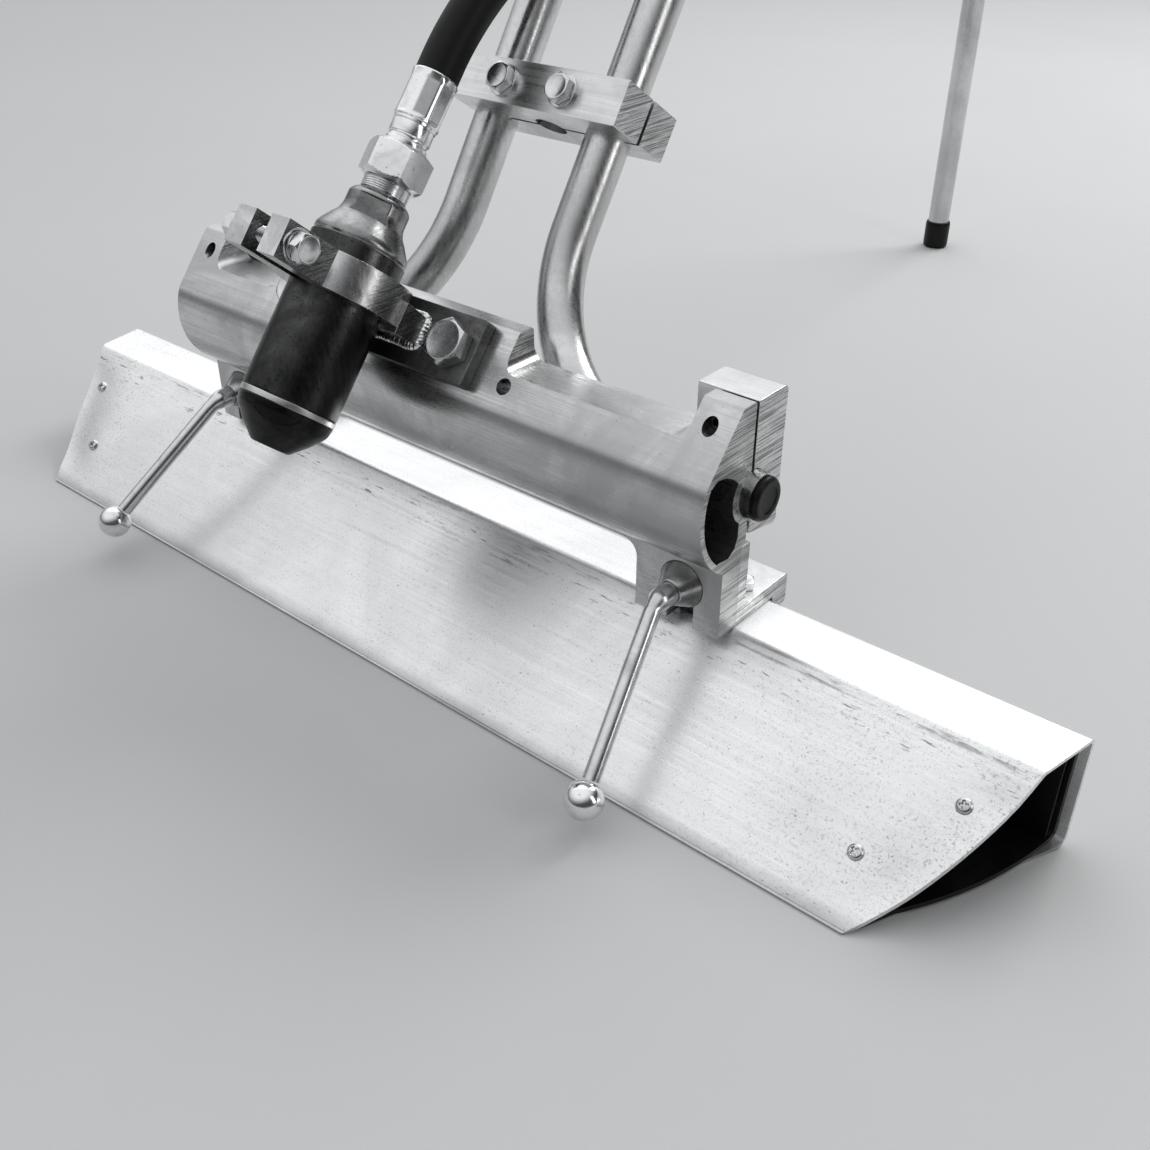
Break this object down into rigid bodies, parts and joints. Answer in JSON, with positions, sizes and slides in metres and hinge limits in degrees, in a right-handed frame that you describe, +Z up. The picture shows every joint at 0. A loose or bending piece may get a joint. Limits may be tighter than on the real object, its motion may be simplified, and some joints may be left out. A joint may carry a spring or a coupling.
{
  "type": "power screed",
  "caption": "Hand-held power screed: closed aluminium board with rounded ends, clamp-on vibrator head, twin-tube handle and folding stand.",
  "frame": {"origin": "centre of the board's sole, on the floor", "axes": "+X along the board to the right as seen from the front, +Y from the front edge towards the operator, +Z up"},
  "size_m": [1, 1.3998, 0.9195],
  "materials": {
    "board_aluminium": "brushed sheet, worn bright with fine scratches",
    "beam_aluminium": "extruded, lengthwise die lines and scuffs",
    "cast_aluminium": "sawn and milled bar, saw marks on the ends",
    "handle_aluminium": "drawn tube, satin",
    "zinc_steel": "zinc plated",
    "black_steel": "black oxide",
    "dark_steel": "raw plate and weld, oiled and dusty",
    "worn_steel": "dark turned steel, worn and stained",
    "ground_steel": "ground",
    "plated_fitting": "bright zinc, spotted",
    "black_rubber": "matt",
    "black_plastic": "moulded",
    "valve_brass": "turned and cast",
    "red_plastic": "dipped"
  },
  "bodies": {
    "screed_head": {"board_shell": "board_aluminium", "end_plug_left": "black_plastic", "end_plug_right": "black_plastic", "end_plug_screws": "zinc_steel", "bracket_bolts": "zinc_steel", "bracket_nuts": "zinc_steel", "plate_bolts": "zinc_steel", "clamp_bolt": "zinc_steel", "clamp_washers": "zinc_steel", "clamp_nut": "zinc_steel", "bracket_left": "cast_aluminium", "bracket_right": "cast_aluminium", "shaft_cap_left": "cast_aluminium", "shaft_cap_right": "cast_aluminium", "head_beam": "beam_aluminium", "cap_screws": "black_steel", "mount_plate": "dark_steel", "saddle_clamp": "dark_steel", "saddle_welds": "dark_steel", "vibrator_body": "worn_steel", "vibrator_cap": "worn_steel", "cap_ring": "worn_steel", "back_head": "worn_steel", "inlet_adapter": "worn_steel", "motor_liner": "ground_steel", "motor_plate": "ground_steel", "bearings": "ground_steel", "swivel_nut": "plated_fitting", "hose_stem": "plated_fitting", "hose_ferrule": "plated_fitting", "air_hose": "black_rubber"},
    "eccentric_rotor": {"eccentric_rotor": "ground_steel"},
    "left_lever": {"lever_left": "zinc_steel", "lever_knob_left": "zinc_steel"},
    "right_lever": {"lever_right": "zinc_steel", "lever_knob_right": "zinc_steel"},
    "left_cone": {"cone_washer_left": "zinc_steel"},
    "right_cone": {"cone_washer_right": "zinc_steel"},
    "handle": {"handle_tube_left": "handle_aluminium", "handle_tube_right": "handle_aluminium", "grip_tubes": "handle_aluminium", "tube_plugs": "black_plastic", "tie_front": "cast_aluminium", "tie_rear": "cast_aluminium", "upper_tie_front": "cast_aluminium", "upper_tie_rear": "cast_aluminium", "tie_bolts": "zinc_steel", "tie_washers": "zinc_steel", "tie_nuts": "zinc_steel", "stand_bracket": "zinc_steel", "stand_pin": "zinc_steel", "grip_left": "black_rubber", "grip_right": "black_rubber", "valve_ferrule": "plated_fitting", "valve_nipple": "plated_fitting", "inlet_coupling": "plated_fitting", "valve_body": "valve_brass"},
    "throttle": {"valve_lever": "red_plastic"},
    "stand": {"stand_tube": "zinc_steel", "stand_foot": "black_rubber"}
  },
  "joints": [
    {"name": "handle_tilt", "type": "hinge", "parent": "screed_head", "child": "handle", "pos_m": [0, 0.0395, 0.19], "axis": [1, 0, 0], "range_deg": [-40, 4], "deforming": ["air_hose"]},
    {"name": "left_cone_slide", "type": "slide", "parent": "screed_head", "child": "left_cone", "axis": [0, -1, 0], "range_m": [0, 0.0056]},
    {"name": "left_lever_turn", "type": "hinge", "parent": "left_cone", "child": "left_lever", "pos_m": [-0.2365, 0.0136, 0.12], "axis": [0, -1, 0], "range_deg": [0, 990]},
    {"name": "right_cone_slide", "type": "slide", "parent": "screed_head", "child": "right_cone", "axis": [0, -1, 0], "range_m": [0, 0.0056]},
    {"name": "right_lever_turn", "type": "hinge", "parent": "right_cone", "child": "right_lever", "pos_m": [0.2365, 0.0136, 0.12], "axis": [0, -1, 0], "range_deg": [0, 990]},
    {"name": "rotor_spin", "type": "hinge", "parent": "screed_head", "child": "eccentric_rotor", "pos_m": [-0.037, -0.03125, 0.26769], "axis": [0, 0.6374, 0.7705], "continuous": true},
    {"name": "stand_fold", "type": "hinge", "parent": "handle", "child": "stand", "pos_m": [-0.11218, 1.108, 0.83368], "axis": [-1, 0, 0], "range_deg": [0, 80]},
    {"name": "throttle_turn", "type": "hinge", "parent": "handle", "child": "throttle", "pos_m": [0.006, 0.40169, 0.74772], "axis": [0, 0.8387, -0.5446], "range_deg": [0, 90]}
  ],
  "couplings": [
    {"joint": "left_cone_slide", "follows": "left_lever_turn", "m_per_rad": 0.00031831},
    {"joint": "right_cone_slide", "follows": "right_lever_turn", "m_per_rad": 0.00031831}
  ]
}
